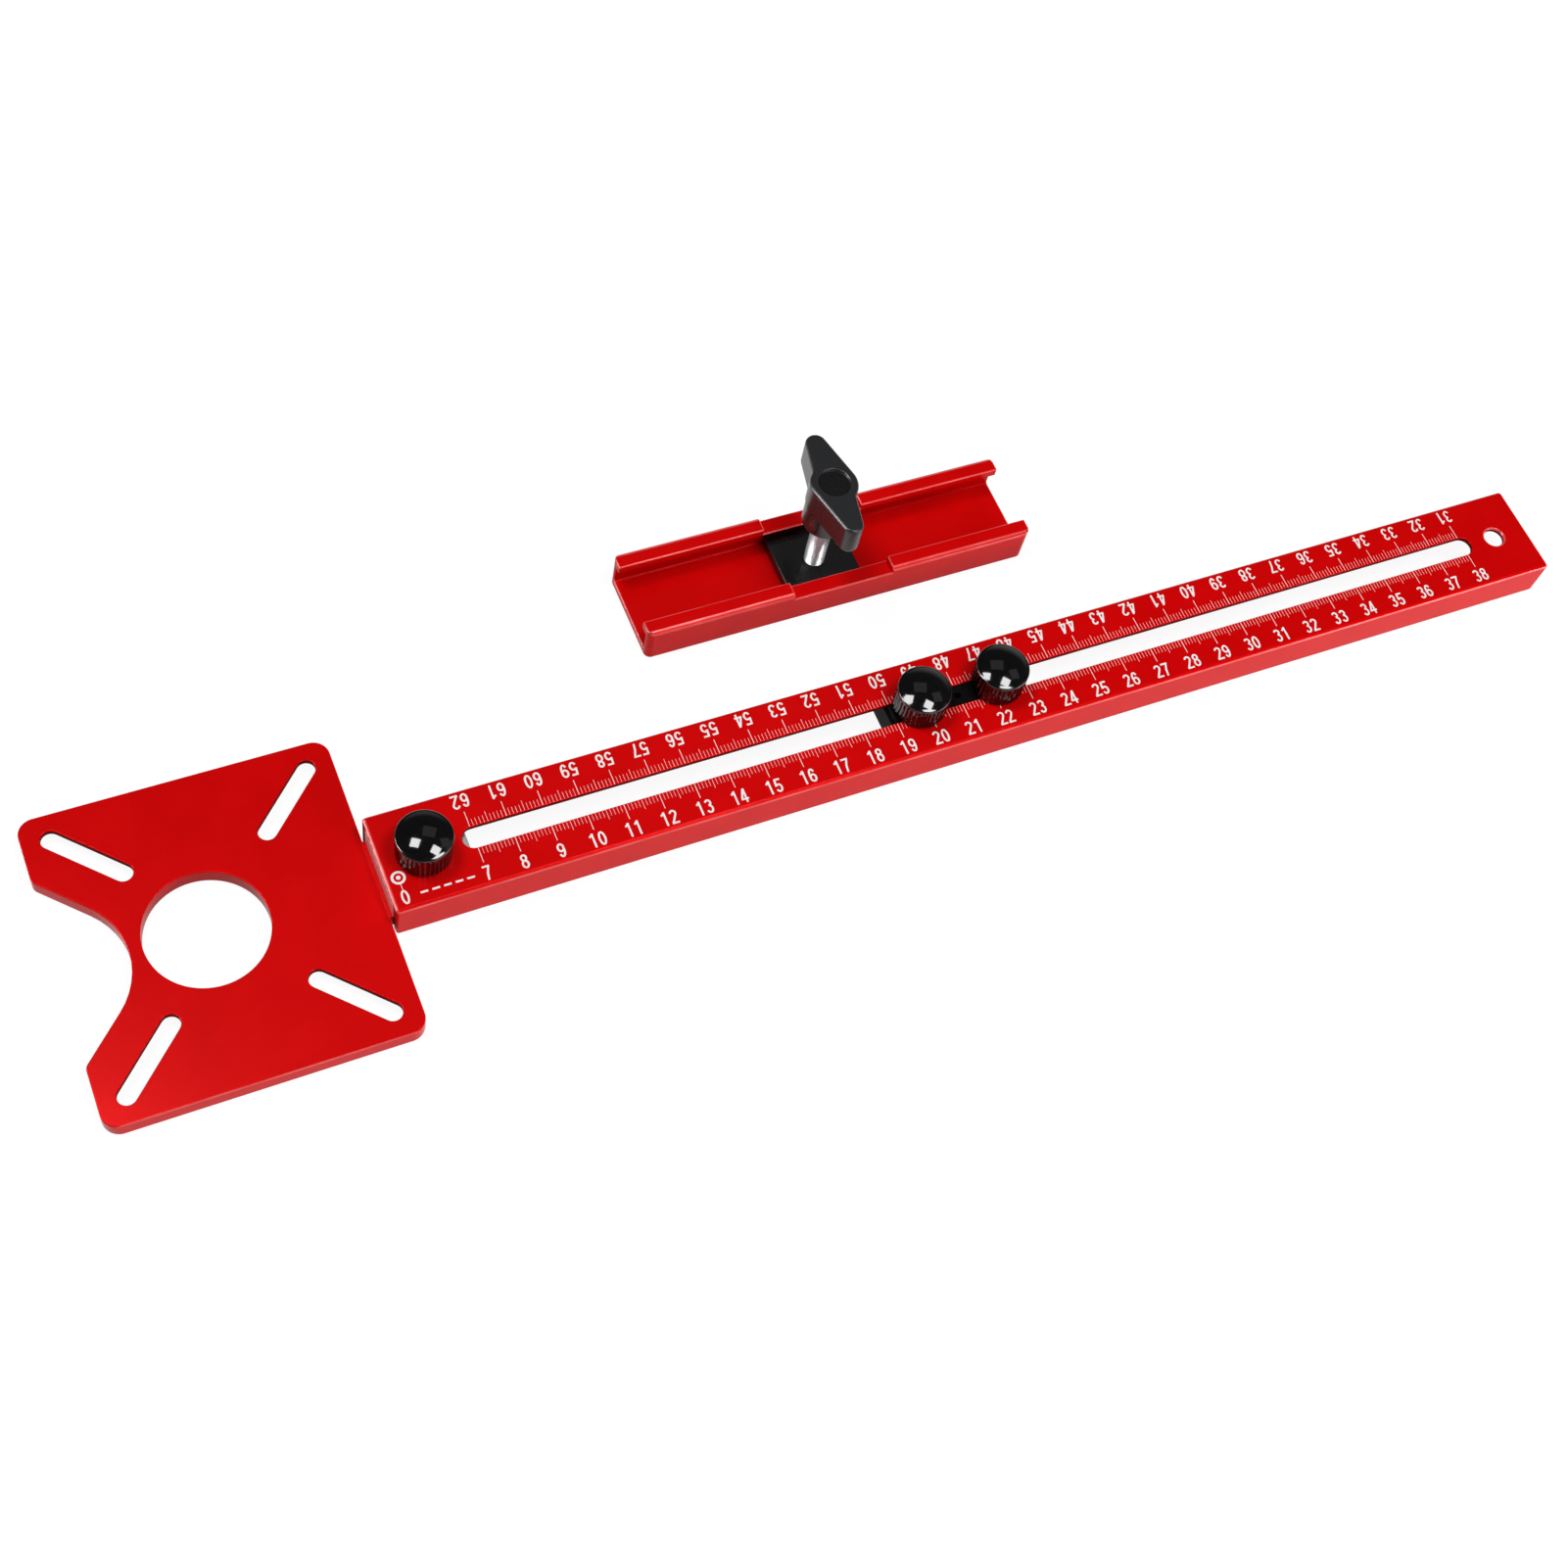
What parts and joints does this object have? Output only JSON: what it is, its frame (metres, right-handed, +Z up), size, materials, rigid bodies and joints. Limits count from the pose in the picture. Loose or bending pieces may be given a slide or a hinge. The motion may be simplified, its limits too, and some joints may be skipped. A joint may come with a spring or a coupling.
{
  "type": "router jig",
  "caption": "Circle and edge jig for a router: base plate on a slotted ruler arm with a clamping pivot slider, and a loose channel fence with a wing screw.",
  "frame": {"origin": "axis of the router bit hole, on the surface that the jig lies on", "axes": "+X along the ruler arm, away from the plate; +Z up, along the bit"},
  "size_m": [0.4398, 0.1185, 0.042],
  "materials": {
    "red_anodised": "red anodised, satin gloss",
    "bare_aluminium": "bare, machined",
    "bright_steel": "zinc plated, bright",
    "black_slider": "black anodised, matt",
    "black_nut": "blackened, satin",
    "black_knob": "moulded, glossy",
    "dark_wing": "moulded, satin"
  },
  "bodies": {
    "jig": {"base_plate": "red_anodised", "joint_block": "bare_aluminium", "block_screws": "bright_steel", "ruler_arm": "red_anodised"},
    "lock_screw": {"lock_knob": "black_knob", "lock_stud": "bright_steel"},
    "slider": {"pivot_slider": "black_slider"},
    "clamp_screw_left": {"clamp_knob_left": "black_knob", "clamp_stud_left": "bright_steel"},
    "clamp_screw_right": {"clamp_knob_right": "black_knob", "clamp_stud_right": "bright_steel"},
    "fence": {"fence_channel": "red_anodised"},
    "nut": {"slide_nut": "black_nut"},
    "wing_screw": {"wing_knob": "dark_wing", "wing_stud": "bright_steel"}
  },
  "joints": [
    {"name": "lock_screw_turn", "type": "hinge", "parent": "jig", "child": "lock_screw", "pos_m": [0.0567, 0, 0.0125], "axis": [0, 0, 1], "range_deg": [0, 450]},
    {"name": "slider_slide", "type": "slide", "parent": "jig", "child": "slider", "axis": [1, 0, 0], "range_m": [-0.12, 0.15]},
    {"name": "clamp_left_turn", "type": "hinge", "parent": "slider", "child": "clamp_screw_left", "pos_m": [0.198, 0, 0.0125], "axis": [0, 0, 1], "range_deg": [0, 450]},
    {"name": "clamp_right_turn", "type": "hinge", "parent": "slider", "child": "clamp_screw_right", "pos_m": [0.222, 0, 0.0125], "axis": [0, 0, 1], "range_deg": [0, 450]},
    {"name": "fence_lift", "type": "slide", "parent": "jig", "child": "fence", "axis": [0, 0, 1], "range_m": [0, 0.06]},
    {"name": "nut_slide", "type": "slide", "parent": "fence", "child": "nut", "axis": [1, 0, 0], "range_m": [-0.044, 0.05]},
    {"name": "wing_screw_turn", "type": "hinge", "parent": "nut", "child": "wing_screw", "pos_m": [0.1922, 0.05785, 0.0242], "axis": [0, 0, 1], "range_deg": [0, 450]}
  ]
}
